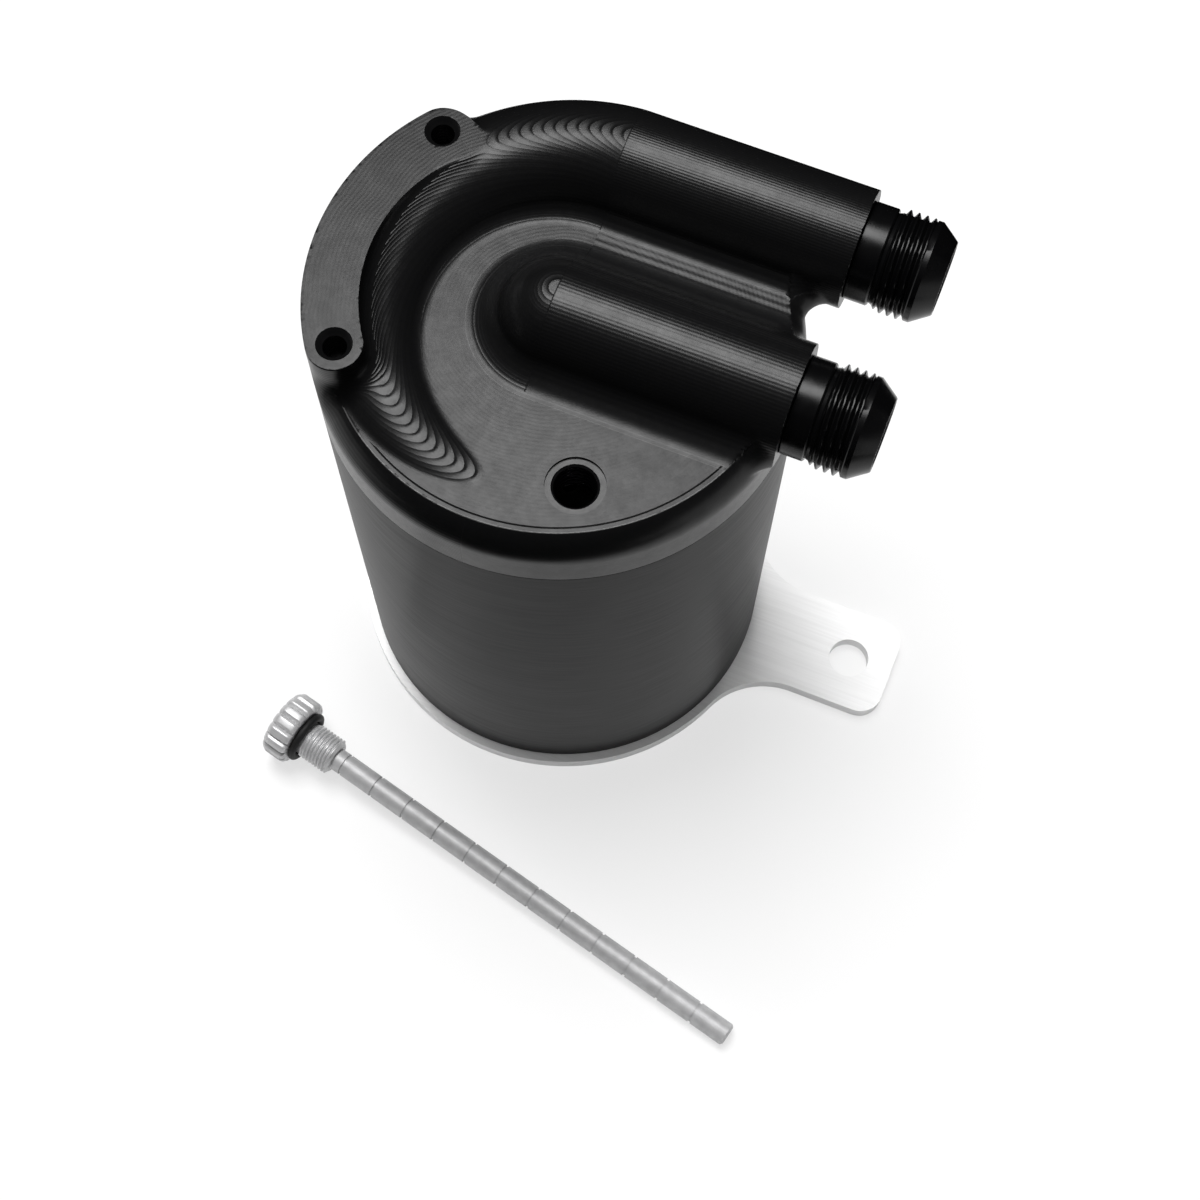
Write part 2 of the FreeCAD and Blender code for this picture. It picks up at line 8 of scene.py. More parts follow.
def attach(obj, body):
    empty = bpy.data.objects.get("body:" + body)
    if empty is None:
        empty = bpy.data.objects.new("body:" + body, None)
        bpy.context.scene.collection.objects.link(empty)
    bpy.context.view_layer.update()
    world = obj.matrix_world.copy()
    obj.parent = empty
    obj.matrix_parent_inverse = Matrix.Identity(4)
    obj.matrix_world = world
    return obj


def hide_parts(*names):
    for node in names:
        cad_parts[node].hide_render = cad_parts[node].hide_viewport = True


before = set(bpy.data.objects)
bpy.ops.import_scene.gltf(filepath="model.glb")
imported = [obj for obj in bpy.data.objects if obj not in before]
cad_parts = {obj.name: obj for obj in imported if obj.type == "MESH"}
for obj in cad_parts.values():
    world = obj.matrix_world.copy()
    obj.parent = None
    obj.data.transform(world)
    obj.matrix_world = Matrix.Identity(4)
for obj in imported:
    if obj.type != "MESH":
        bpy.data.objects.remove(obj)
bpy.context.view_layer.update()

MM = 0.001

# The camera stands where the photograph was taken from. Millimetres and radians.
CAMERA_PLACE = (81.8, -184.5, 505.2)
CAMERA_YAW = 0.3723
CAMERA_PITCH = 1.2022
CAMERA_ROLL = 0.0122
SENSOR = 36.0
LENS = 59.42
LENS_SHIFT = (0.00083, -0.0006)

# The share of plain white in the floor where it is seen, and the sky's strength off its white horizon.
FLOOR_GLOW = 0.65
SKY_DIM = 0.05

# How strongly the black parts mirror what is round them.
LID_IOR = 1.28
CUP_IOR = 1.17

# Most of a noise's values lie in this range.
NOISE_RANGE = (0.3, 0.7)

# The lid's disc, in millimetres as all sizes below. Heights are above the bracket's underside.
CAN_RADIUS = 52.0
UNDERSIDE = 134.4
FLOOR = 143.8
FLOOR_EDGE = 48.1
RIM_TOP = 145.4
RIM_ROUND = 9.0
RIM_GROOVE = 47.0
EDGE_BREAK = 0.25

# Below the disc: the seam with the cup, the spigot with the seal's groove, and the drop tube's boss.
SEAM = 128.4
SPIGOT_RADIUS = 48.4
SPIGOT_FOOT = 116.4
SPIGOT_WALL = 4.0
SPIGOT_BEVEL = 0.4
RING_GROOVE = (121.6, 124.4)
RING_GROOVE_DEPTH = 2.2
BOSS_RADIUS = 11.0
BOSS_FOOT = 126.4

# The two tubes. The outlet starts over the middle, and the inlet winds down round it as a ramp.
TUBE_RADIUS = 12.9
TUBE_HEIGHT = 144.0
TUBE_END = 52.3
TUBE_BORE = 7.0
INLET_BACK = 39.0
RAMP_DROP = TUBE_HEIGHT + TUBE_RADIUS - FLOOR
RAMP_FALL = RAMP_DROP / (math.pi * INLET_BACK)
PORT_RADIUS = 9.5
PORT_DEPTH = 14.0
PORT_SEAT_RADIUS = 10.5
PORT_SEAT_DEPTH = 2.4

# The crescent pad and its two holes.
PAD_TOP = 153.6
PAD_CIRCLE = 46.1
PAD_HALF_WIDTH = 5.9
PAD_HALF_ANGLE = math.radians(36)
PAD_END = (PAD_CIRCLE * math.cos(PAD_HALF_ANGLE), PAD_CIRCLE * math.sin(PAD_HALF_ANGLE))
PAD_HOLE = 2.5
PAD_HOLE_DEPTH = 8.0
PAD_HOLE_MOUTH = 3.8

# The dipstick's port through the disc.
DIP_PORT = (17.5, -33.6)
DIP_PORT_RADIUS = 4.5
DIP_PORT_MOUTH = 5.0
DIP_PORT_SEAT_RADIUS = 6.3
DIP_PORT_SEAT_DEPTH = 0.6

# Rounds at the feet of the tubes and the pad. A tube's is full at one height and all but gone at the other.
OUTLET_FOOT = 6.4
INLET_FOOT = 4.0
PAD_FOOT = 5.0
FOOT_FULL = 139.5
FOOT_LOW = 134.0

# The ball cutter's steps on the ramp: their rise, the cutter's radius and the deepest that one gets.
MILL_STEP = 0.26
MILL_BALL = 5.0
MILL_DEEPEST = 0.16

# The share of those steps that is in the mesh, the width at which they start there, and the width over
# which they fade in.
MESH_SHARE = 0.3
MESH_STEPS_FROM = 1.2
MESH_STEPS_FADE = 0.8

# The grid that the lid's mesh is made on, and how far it reaches past the lid.
LID_STEP = 0.5
LID_MARGIN = 0.65

# The least length that anything is divided by.
TINY = 1e-6


def mesh_object(name, points, faces, body, material, slot):
    """A piece from points in millimetres, riding on a body."""
    mesh = bpy.data.meshes.new(name)
    mesh.from_pydata((np.asarray(points) * MM).tolist(), [], faces)
    mesh.validate()
    piece = bpy.data.objects.new(name, mesh)
    bpy.context.scene.collection.objects.link(piece)
    mesh.materials.append(material)
    smooth(piece)
    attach(piece, body)
    return piece


def smooth(piece):
    """Round shading, with creases where faces meet sharply."""
    crease = math.radians(28)
    piece.data.polygons.foreach_set("use_smooth", [True] * len(piece.data.polygons))
    piece.data.set_sharp_from_angle(angle=crease)


# Shapes as distances: negative inside, positive outside, zero on the surface.

def length(*parts):
    """The length of a line from its parts along the axes."""
    return np.sqrt(sum(part * part for part in parts))


def corner(first, second, radius):
    """The inside of two faces at once, with a round of this radius where they meet."""
    outer = length(np.maximum(first + radius, 0), np.maximum(second + radius, 0))
    return outer + np.minimum(np.maximum(first, second) + radius, 0) - radius


def foot_round(z, radius):
    """The radius of the round at a tube's foot. It nearly runs out below the floor."""
    least = 0.02
    return radius * np.clip((z - FOOT_LOW) / (FOOT_FULL - FOOT_LOW), least, 1)


def joined(first, first_slope, second, second_slope, radius):
    """Two shapes as one, with a rolling ball's round in the corner between them."""
    least_spread = 1e-3
    across = sum(a * b for a, b in zip(first_slope, second_slope))
    spread = np.maximum(1 - across * across, least_spread)
    to_first, to_second = radius - first, radius - second
    weight_first = (to_first - across * to_second) / spread
    weight_second = (to_second - across * to_first) / spread
    square = (to_first ** 2 + to_second ** 2 - 2 * across * to_first * to_second) / spread
    ball = radius - np.sqrt(np.maximum(square, 0))
    in_corner = (weight_first > 0) & (weight_second > 0)
    return np.where(in_corner, ball, np.minimum(first, second))


def blended(first, second, width):
    """Two shapes as one, with a soft fillet of about this width in the corner between them."""
    near = np.maximum(width - np.abs(first - second), 0) / width
    return np.minimum(first, second) - near * near * width / 4


def ramp_middle(x, y):
    """The height of the inlet's centre line as it winds down round the can."""
    turned = np.arctan2(-x, y) / math.pi
    return TUBE_HEIGHT - RAMP_DROP * np.clip(turned, 0, 1)


def inlet_line(x, y, z):
    """How far a place is from the inlet's centre line, and which way. It winds where x is below zero."""
    reach = np.maximum(length(x, y), TINY)
    winding = x < 0
    side = np.where(winding, reach - INLET_BACK, y - INLET_BACK)
    rise = z - np.where(winding, ramp_middle(x, y), TUBE_HEIGHT)
    away = np.maximum(length(side, rise), TINY)
    level_x = np.where(winding, x / reach, 0.0) * side / away
    level_y = np.where(winding, y / reach, 1.0) * side / away
    return away, (level_x, level_y, rise / away)


def scallops(x, z, slope):
    """The soft steps that a ball cutter leaves on the ramp, widest where it is nearly level."""
    least_steep = 0.05
    steep = np.sqrt(1 - slope[2] ** 2 * (1 - RAMP_FALL ** 2))
    width = MILL_STEP / np.maximum(steep, least_steep)
    depth = np.minimum(width ** 2 / (8 * MILL_BALL), MILL_DEEPEST)
    shown = np.clip((width - MESH_STEPS_FROM) / MESH_STEPS_FADE, 0, 1) * (x < 0) * (slope[2] > 0)
    return MESH_SHARE * shown * depth * (1 - np.cos(2 * math.pi * z / MILL_STEP)) / 2


def pad_distance(x, y, z):
    """The crescent pad: an arc-shaped slot in plan, flat on top."""
    reach = length(x, y)
    turned = np.abs(np.arctan2(y, -x))
    at_end = length(-x - PAD_END[0], np.abs(y) - PAD_END[1])
    plan = np.where(turned < PAD_HALF_ANGLE, np.abs(reach - PAD_CIRCLE), at_end) - PAD_HALF_WIDTH
    return corner(plan, z - PAD_TOP, EDGE_BREAK)


def round_hole(reach, depth_left, radius, mouth, below_top):
    """A round hole with a bevelled mouth, whose bevel ends a little above the top."""
    above = 0.3
    hole = np.maximum(reach - radius, depth_left)
    bevel = (reach - mouth + below_top) * math.sqrt(0.5)
    return np.minimum(hole, np.maximum(bevel, -below_top - above))


def hollow_distance(x, y, z):
    """What is hollow: below the lid's underside, its passages and the fittings' ports and seats."""
    reach = length(x, y)
    below = np.maximum(reach - CAN_RADIUS, z - UNDERSIDE)
    middle = length(np.minimum(x, 0), y, z - TUBE_HEIGHT)
    passages = np.minimum(middle, inlet_line(x, y, z)[0]) - TUBE_BORE
    drop = np.maximum(reach - TUBE_BORE, z - TUBE_HEIGHT)
    from_port = np.minimum(
        length(y, z - TUBE_HEIGHT),
        length(y - INLET_BACK, z - TUBE_HEIGHT),
    )
    port = np.maximum(from_port - PORT_RADIUS, TUBE_END - PORT_DEPTH - x)
    seat = np.maximum(from_port - PORT_SEAT_RADIUS, TUBE_END - PORT_SEAT_DEPTH - x)
    return np.minimum.reduce([below, passages, drop, port, seat])


def disc_distance(x, y, z):
    """The lid's disc and its slope. The wide round at the rim is cut off level by the floor."""
    reach = np.maximum(length(x, y), TINY)
    out = np.maximum(reach - CAN_RADIUS + RIM_ROUND, 0)
    over = np.maximum(z - RIM_TOP + RIM_ROUND, 0)
    away = np.maximum(length(out, over), TINY)
    rim = corner(reach - CAN_RADIUS, z - RIM_TOP, RIM_ROUND)
    level = z - FLOOR > rim
    slope_x = np.where(level, 0.0, out / away * x / reach)
    slope_y = np.where(level, 0.0, out / away * y / reach)
    slope_z = np.where(level, 1.0, over / away)
    return np.maximum(rim, z - FLOOR), (slope_x, slope_y, slope_z)


def lid_distance(x, y, z):
    """The lid above its underside: the disc, the tubes and the pad, less all that is hollow."""
    disc, disc_slope = disc_distance(x, y, z)
    behind = np.minimum(x, 0)
    middle = np.maximum(length(behind, y, z - TUBE_HEIGHT), TINY)
    outlet_slope = (behind / middle, y / middle, (z - TUBE_HEIGHT) / middle)
    outlet = middle - TUBE_RADIUS
    middle_in, inlet_slope = inlet_line(x, y, z)
    inlet = middle_in - TUBE_RADIUS + scallops(x, z, inlet_slope)

    solid = np.minimum(
        joined(disc, disc_slope, outlet, outlet_slope, foot_round(z, OUTLET_FOOT)),
        joined(disc, disc_slope, inlet, inlet_slope, foot_round(z, INLET_FOOT)),
    )
    solid = corner(solid, x - TUBE_END, EDGE_BREAK)
    pad = pad_distance(x, y, z)
    fillet = np.maximum.reduce([blended(solid, pad, PAD_FOOT), z - PAD_TOP, length(x, y) - CAN_RADIUS])
    solid = np.minimum.reduce([solid, pad, fillet])

    from_screw = length(-x - PAD_END[0], np.abs(y) - PAD_END[1])
    screw = round_hole(from_screw, PAD_TOP - PAD_HOLE_DEPTH - z, PAD_HOLE, PAD_HOLE_MOUTH, PAD_TOP - z)

    past_underside = 1.0
    from_dip = length(x - DIP_PORT[0], y - DIP_PORT[1])
    seat_top = FLOOR - DIP_PORT_SEAT_DEPTH
    dip_seat = np.maximum(from_dip - DIP_PORT_SEAT_RADIUS, seat_top - z)
    dip_end = UNDERSIDE - past_underside
    dip = round_hole(from_dip, dip_end - z, DIP_PORT_RADIUS, DIP_PORT_MOUTH, seat_top - z)
    for cut in (hollow_distance(x, y, z), screw, dip_seat, dip):
        solid = np.maximum(solid, -cut)
    return solid


def slope_at(distance, points):
    """The unit slope of a distance at points, by differences."""
    reach, least = 0.02, 1e-9
    parts = []
    for axis in range(3):
        step = np.zeros(3)
        step[axis] = reach
        parts.append(distance(*(points + step).T) - distance(*(points - step).T))
    slope = np.stack(parts, axis=1)
    return slope / np.maximum(np.linalg.norm(slope, axis=1, keepdims=True), least)


def edge_crossings(values, axes, axis, distance):
    """Where the surface crosses the grid's edges along one axis, closed in on from both ends."""
    rounds, margin = 4, 0.05
    here = [slice(None)] * 3
    there = [slice(None)] * 3
    here[axis], there[axis] = slice(None, -1), slice(1, None)
    start, end = values[tuple(here)], values[tuple(there)]
    index = np.argwhere((start < 0) != (end < 0))
    low = np.stack([axes[k][index[:, k]] for k in range(3)], axis=1)
    first = start[tuple(index.T)]
    last = end[tuple(index.T)]
    entering = first < 0
    near, far = np.zeros(len(index)), np.full(len(index), axes[axis][1] - axes[axis][0])
    unit = np.eye(3)[axis]
    for _ in range(rounds):
        share = np.clip(first / (first - last), margin, 1 - margin)
        middle = near + (far - near) * share
        value = distance(*(low + middle[:, None] * unit).T)
        same = (value < 0) == entering
        near, first = np.where(same, middle, near), np.where(same, value, first)
        far, last = np.where(same, far, middle), np.where(same, last, value)
    share = first / np.where(first == last, 1, first - last)
    points = low + (near + (far - near) * share)[:, None] * unit
    return index, points, entering


def surface(distance, low, high, step):
    """A mesh of a distance's surface that keeps its creases.

    Each crossed cell of the grid gets one point, where the flat faces through its crossings meet best, and
    the four cells round each crossed edge make a face.
    """
    hold_to_middle = 0.05
    squares_end, pulls_end, places_end = 6, 9, 12
    pairs = ((0, 0), (0, 1), (0, 2), (1, 1), (1, 2), (2, 2))
    full_square = [0, 1, 2, 1, 3, 4, 2, 4, 5]
    axes = [np.arange(a, b + step, step) for a, b in zip(low, high)]
    values = distance(*np.meshgrid(*axes, indexing="ij"))
    counts = [len(axis) - 1 for axis in axes]
    strides = np.array([counts[1] * counts[2], counts[2], 1])
    total = counts[0] * counts[1] * counts[2]
    sums = np.zeros((total, places_end + 1))
    rings = []
    for axis in range(3):
        index, points, entering = edge_crossings(values, axes, axis, distance)
        normals = slope_at(distance, points)
        offset = np.sum(normals * points, axis=1)
        terms = [normals[:, i] * normals[:, j] for i, j in pairs]
        terms += [normals[:, i] * offset for i in range(3)]
        terms += [points[:, i] for i in range(3)]
        terms += [np.ones(len(points))]
        one, two = (axis + 1) % 3, (axis + 2) % 3
        ring = []
        for back_one, back_two in ((1, 1), (0, 1), (0, 0), (1, 0)):
            cell = index.copy()
            cell[:, one] -= back_one
            cell[:, two] -= back_two
            number = cell @ strides
            ring.append(number)
            for column, term in enumerate(terms):
                sums[:, column] += np.bincount(number, weights=term, minlength=total)[:total]
        ring = np.stack(ring, axis=1)
        ring[~entering] = ring[~entering][:, ::-1]
        rings.append(ring)

    used = np.flatnonzero(sums[:, -1] > 0)
    parts = np.split(sums[used], (squares_end, pulls_end, places_end), axis=1)
    squares, pulls, places, crossings = parts
    middle = places / crossings
    square = squares[:, full_square].reshape(-1, 3, 3)
    pull = pulls - np.einsum("nij,nj->ni", square, middle)
    moved = np.linalg.solve(square + hold_to_middle * np.eye(3), pull[:, :, None])[:, :, 0]
    cell = np.stack(np.unravel_index(used, counts), axis=1)
    cell_low = np.array([axis[0] for axis in axes]) + cell * step
    points = np.clip(middle + moved, cell_low, cell_low + step)
    renumber = np.full(total, -1)
    renumber[used] = np.arange(len(used))
    return points, renumber[np.concatenate(rings)]


def part_of(points, faces):
    """Some of a mesh's faces, with the points they use."""
    used, renumbered = np.unique(faces, return_inverse=True)
    return points[used].tolist(), renumbered.reshape(faces.shape).tolist()


def turned_shape(profile, axis, segments, radius_at=None):
    """A closed profile of (along, radius) turned about X or Z."""
    points, faces = [], []
    count = len(profile)
    for turn in range(segments):
        angle = 2 * math.pi * turn / segments
        for along, radius in profile:
            if radius_at is not None:
                radius = radius_at(along, radius, angle)
            side, rise = radius * math.cos(angle), radius * math.sin(angle)
            points.append((along, side, rise) if axis == "X" else (side, rise, along))
    for turn in range(segments):
        after = (turn + 1) % segments
        for number in range(count):
            up = (number + 1) % count
            face = (turn * count + number, turn * count + up)
            face += (after * count + up, after * count + number)
            faces.append(face)
    if axis == "X":
        faces = [face[::-1] for face in faces]
    return points, faces


def joined_shapes(*shapes):
    """Several meshes as one."""
    points, faces = [], []
    for more_points, more_faces in shapes:
        first = len(points)
        points += [tuple(point) for point in more_points]
        faces += [tuple(first + number for number in face) for face in more_faces]
    return points, faces


class Nodes:
    """A node tree, filled one node at a time."""

    def __init__(self, tree):
        self.tree = tree

    def node(self, kind, *inputs, **settings):
        """A new node. Its inputs are numbers, colours or other nodes' outputs, in the node's own order."""
        made = self.tree.nodes.new(kind)
        for name, value in settings.items():
            setattr(made, name, value)
        for socket, value in zip(made.inputs, inputs):
            if isinstance(value, bpy.types.NodeSocket):
                self.tree.links.new(value, socket)
            else:
                socket.default_value = value
        return made

    def math(self, operation, *inputs):
        return self.node("ShaderNodeMath", *inputs, operation=operation).outputs[0]

    def product(self, *values):
        result = values[0]
        for value in values[1:]:
            result = self.math("MULTIPLY", result, value)
        return result

    def mixed(self, share, first, second):
        made = self.node("ShaderNodeMix", share, data_type="FLOAT")
        self.tree.links.new(first, made.inputs["A"])
        self.tree.links.new(second, made.inputs["B"])
        return made.outputs["Result"]

    def mapped(self, value, low, high, to_low, to_high):
        made = self.node("ShaderNodeMapRange", value, low, high, to_low, to_high)
        made.clamp = True
        return made.outputs[0]

    def seen(self):
        """One where the camera looks, straight or in a reflection or through glass."""
        path = self.tree.nodes.new("ShaderNodeLightPath").outputs
        mirrored = self.math("MAXIMUM", path["Is Glossy Ray"], path["Is Transmission Ray"])
        return self.math("MAXIMUM", path["Is Camera Ray"], mirrored)


class Paint(Nodes):
    """A material's nodes. Places are in metres, as its object has them."""

    def __init__(self, name, colour, roughness, metallic=0.0, ior=1.5):
        self.material = bpy.data.materials.new(name)
        self.material.use_nodes = True
        super().__init__(self.material.node_tree)
        self.shader = self.tree.nodes["Principled BSDF"]
        self.shader.inputs["Base Color"].default_value = (*colour, 1)
        self.shader.inputs["Roughness"].default_value = roughness
        self.shader.inputs["Metallic"].default_value = metallic
        self.shader.inputs["IOR"].default_value = ior
        place = self.tree.nodes.new("ShaderNodeTexCoord")
        self.place = place.outputs["Object"]
        self.normal = place.outputs["Normal"]
        split = self.node("ShaderNodeSeparateXYZ", self.place)
        self.x, self.y, self.z = split.outputs

    def noise(self, scale, detail=3.0, stretch=(1, 1, 1)):
        scaled = self.node("ShaderNodeVectorMath", self.place, stretch, operation="MULTIPLY").outputs[0]
        made = self.node("ShaderNodeTexNoise", scaled)
        made.inputs["Scale"].default_value = scale
        made.inputs["Detail"].default_value = detail
        return made.outputs["Fac"]

    def waves(self, value, pitch):
        """A sine of a coordinate, from -1 to 1, with this pitch in millimetres."""
        return self.math("SINE", self.math("MULTIPLY", value, 2 * math.pi / (pitch * MM)))

    def band(self, value, middle, half_width):
        """One where a coordinate is within a band given in millimetres, and zero elsewhere."""
        return self.math("COMPARE", value, middle * MM, half_width * MM)

    def line(self, away, half_width):
        """One on a line, falling to zero at half its width in millimetres."""
        return self.mapped(away, 0.0, half_width * MM, 1.0, 0.0)

    def bump(self, height, distance):
        """Relief on the surface: a height from nodes, times a distance in millimetres."""
        made = self.tree.nodes.new("ShaderNodeBump")
        made.inputs["Strength"].default_value = 1.0
        made.inputs["Distance"].default_value = distance * MM
        self.tree.links.new(height, made.inputs["Height"])
        self.tree.links.new(made.outputs[0], self.shader.inputs["Normal"])

    def vary(self, socket, value, low, high):
        """Let a noise set a socket between two numbers."""
        self.tree.links.new(self.mapped(value, *NOISE_RANGE, low, high), self.shader.inputs[socket])

    def length(self, across, along):
        """The length of a line from its parts along two axes."""
        flat = self.node("ShaderNodeCombineXYZ", across, along, 0.0).outputs[0]
        return self.node("ShaderNodeVectorMath", flat, operation="LENGTH").outputs["Value"]

    def between(self, socket, share, dark, light):
        """Set a colour socket to a mix of two colours."""
        made = self.node("ShaderNodeMix", data_type="RGBA")
        self.tree.links.new(share, made.inputs["Factor"])
        made.inputs["A"].default_value = (*dark, 1)
        made.inputs["B"].default_value = (*light, 1)
        self.tree.links.new(made.outputs["Result"], self.shader.inputs[socket])

    def tint(self, value, dark, light):
        """Let a noise set the colour between two."""
        self.between("Base Color", self.mapped(value, *NOISE_RANGE, 0.0, 1.0), dark, light)


class LidPaint(Paint):
    """The lid's black, and its places: each is one where it applies and zero elsewhere.

    The methods give heights in millimetres, of what the cutters left in each place.
    """

    def __init__(self, name, colour, roughness):
        super().__init__(name, colour, roughness, ior=LID_IOR)
        on_flat, off_floor, off_edge = 0.04, 0.1, 0.2
        self.reach = self.length(self.x, self.y)
        self.rise = self.math("SUBTRACT", self.z, TUBE_HEIGHT * MM)
        self.straight = self.math("GREATER_THAN", self.x, 0.0)
        self.winding = self.math("SUBTRACT", 1.0, self.straight)
        self.in_front = self.math("LESS_THAN", self.y, 0.0)
        self.above = self.math("GREATER_THAN", self.z, (FLOOR + off_floor) * MM)
        outside = self.math("GREATER_THAN", self.reach, (FLOOR_EDGE + off_edge) * MM)
        self.raised = self.math("MAXIMUM", self.above, outside)
        self.on_floor = self.band(self.z, FLOOR, on_flat)
        self.flat = self.math("MAXIMUM", self.on_floor, self.band(self.z, PAD_TOP, on_flat))
        self.off_flat = self.math("SUBTRACT", 1.0, self.flat)

    def tube_lines(self):
        """Lines along the straight tubes."""
        outlet_lines, inlet_lines, height = 100.0, 130.0, 0.008
        outlet_turn = self.math("ARCTAN2", self.rise, self.y)
        inlet_turn = self.math("ARCTAN2", self.rise, self.math("SUBTRACT", self.y, INLET_BACK * MM))
        lines = self.mixed(
            self.math("GREATER_THAN", self.y, INLET_BACK / 2 * MM),
            self.math("SINE", self.math("MULTIPLY", outlet_turn, outlet_lines)),
            self.math("SINE", self.math("MULTIPLY", inlet_turn, inlet_lines)),
        )
        return [self.product(lines, self.straight, self.above, height)]

    def cutter_steps(self):
        """Level steps of a ball cutter round the ramp, widest where it's nearly level, and coarser lines."""
        near_ramp, least_steep_squared = 0.6, 0.002
        coarse_pitch, coarse_height = 3 * MILL_STEP, 0.006
        turned = self.math("ARCTAN2", self.math("MULTIPLY", self.x, -1.0), self.y)
        over = self.math("ADD", self.rise, self.math("MULTIPLY", turned, RAMP_DROP / math.pi * MM))
        from_middle = self.length(self.math("SUBTRACT", self.reach, INLET_BACK * MM), over)
        on_ramp = self.band(from_middle, TUBE_RADIUS, near_ramp)
        ramp_up = self.math("DIVIDE", over, from_middle)
        up = self.node("ShaderNodeSeparateXYZ", self.normal).outputs["Z"]
        level = self.mixed(
            on_ramp,
            self.product(up, up),
            self.product(ramp_up, ramp_up, 1 - RAMP_FALL ** 2),
        )
        steep = self.math("MAXIMUM", self.math("SUBTRACT", 1.0, level), least_steep_squared)
        width = self.math("DIVIDE", MILL_STEP, self.math("SQRT", steep))
        depth = self.math("DIVIDE", self.product(width, width), 8 * MILL_BALL)
        share = self.mapped(on_ramp, 0.0, 1.0, 1.0, 1 - MESH_SHARE)
        depth = self.product(self.math("MINIMUM", depth, MILL_DEEPEST), share)
        phase = self.math("FRACT", self.math("DIVIDE", self.z, MILL_STEP * MM))
        ridge = self.math("SUBTRACT", self.math("MULTIPLY", phase, 2.0), 1.0)
        coarse = self.waves(self.z, coarse_pitch)
        return [
            self.product(ridge, ridge, depth, self.winding, self.raised, self.off_flat),
            self.product(coarse, self.winding, self.raised, self.off_flat, coarse_height),
        ]

    def flat_lines(self):
        """Rings on the flats, lines in the valley between the tubes, and two thin grooves.

        One groove runs along the floor's front edge, and one is where the tubes start to bend.
        """
        swirl, ring_pitch, ring_height = 4.0, 0.9, 0.003
        valley_half_width, valley_pitch, valley_height = 7.0, 1.65, 0.02
        groove_half_width, groove_height = 0.2, -0.08
        bend_half_width, bend_height = 0.15, -0.03
        wander = self.math("MULTIPLY", self.noise(60.0, 2.0), swirl * MM)
        rings = self.waves(self.math("ADD", self.reach, wander), ring_pitch)
        in_valley = self.band(self.y, INLET_BACK / 2, valley_half_width)
        lines = self.waves(self.y, valley_pitch)
        from_groove = self.math("ABSOLUTE", self.math("SUBTRACT", self.reach, RIM_GROOVE * MM))
        groove = self.line(from_groove, groove_half_width)
        bend = self.line(self.math("ABSOLUTE", self.x), bend_half_width)
        return [
            self.product(rings, self.flat, ring_height),
            self.product(lines, in_valley, self.straight, self.on_floor, valley_height),
            self.product(groove, self.on_floor, self.in_front, groove_height),
            self.product(bend, self.raised, self.off_flat, bend_height),
        ]

    def thread(self, from_middle, radius, top, pitch, height):
        """Thread lines in a hole, up to the thread's top."""
        into_wall = 0.3
        inside = self.product(
            self.math("LESS_THAN", from_middle, (radius + into_wall) * MM),
            self.math("LESS_THAN", self.z, top * MM),
        )
        return self.product(self.waves(self.z, pitch), inside, height)

    def threads(self):
        """Threads in the dipstick's port and in the pad's holes."""
        dip_lead, dip_pitch, dip_height = 0.6, 1.5, 0.22
        screw_lead, screw_pitch, screw_height = 1.5, 1.0, 0.12
        from_dip = self.length(
            self.math("SUBTRACT", self.x, DIP_PORT[0] * MM),
            self.math("SUBTRACT", self.y, DIP_PORT[1] * MM),
        )
        from_screw = self.length(
            self.math("ADD", self.x, PAD_END[0] * MM),
            self.math("SUBTRACT", self.math("ABSOLUTE", self.y), PAD_END[1] * MM),
        )
        dip_top = FLOOR - DIP_PORT_SEAT_DEPTH - dip_lead
        screw_top = PAD_TOP - screw_lead
        return [
            self.thread(from_dip, DIP_PORT_RADIUS, dip_top, dip_pitch, dip_height),
            self.thread(from_screw, PAD_HOLE, screw_top, screw_pitch, screw_height),
        ]


def milled_black():
    """The lid: black anodised, with what its cutters left, and painted highlights as fine pale lines round
    the outlet's foot and along the floor's front edge.
    """
    # pale is the colour of the painted highlights set into the base colour below.
    black, pale = (0.004, 0.004, 0.0042), (0.07, 0.07, 0.07)
    foot_highlight_half_width, foot_highlight_share = 0.08, 0.4
    edge_highlight_half_width, edge_highlight_half_height = 0.13, 0.2
    grain_scale, grain_height = 2200.0, 0.01
    gloss, flat_gloss = 0.62, 0.5
    paint = LidPaint("milled_black", black, 0.3)
    height = paint.math("MULTIPLY", paint.noise(grain_scale, 2.0), grain_height)
    for marks in (paint.tube_lines(), paint.cutter_steps(), paint.flat_lines(), paint.threads()):
        for mark in marks:
            height = paint.math("ADD", height, mark)
    paint.bump(height, 1.0)

    # Painted highlights: fine pale lines in the base colour, one round the outlet's foot on the floor and
    # one along the floor's front edge, on the front side only.
    from_outlet = paint.length(paint.math("MINIMUM", paint.x, 0.0), paint.y)
    foot_highlight = paint.band(from_outlet, TUBE_RADIUS + OUTLET_FOOT, foot_highlight_half_width)
    edge_highlight = paint.product(
        paint.band(paint.reach, FLOOR_EDGE, edge_highlight_half_width),
        paint.band(paint.z, FLOOR, edge_highlight_half_height),
        paint.in_front,
    )
    foot_highlight = paint.product(foot_highlight, paint.on_floor, foot_highlight_share)
    paint.between("Base Color", paint.math("MAXIMUM", foot_highlight, edge_highlight), black, pale)
    paint.vary("Roughness", paint.noise(900.0), 0.28, 0.33)
    blotches = paint.mapped(paint.noise(230.0, 6.0), *NOISE_RANGE, 0.88, 1.12)
    level = paint.product(paint.mapped(paint.flat, 0.0, 1.0, gloss, flat_gloss), blotches)
    paint.tree.links.new(level, paint.shader.inputs["Specular IOR Level"])
    return paint.material


def turned_black():
    """The cup: satin black anodised, with fine turning lines."""
    paint = Paint("turned_black", (0.007, 0.007, 0.0072), 0.38, ior=CUP_IOR)
    paint.bump(paint.noise(900.0, 4.0, stretch=(0.02, 0.02, 3.0)), 0.006)
    paint.vary("Roughness", paint.noise(700.0, 3.0, stretch=(0.1, 0.1, 3.0)), 0.35, 0.42)
    return paint.material


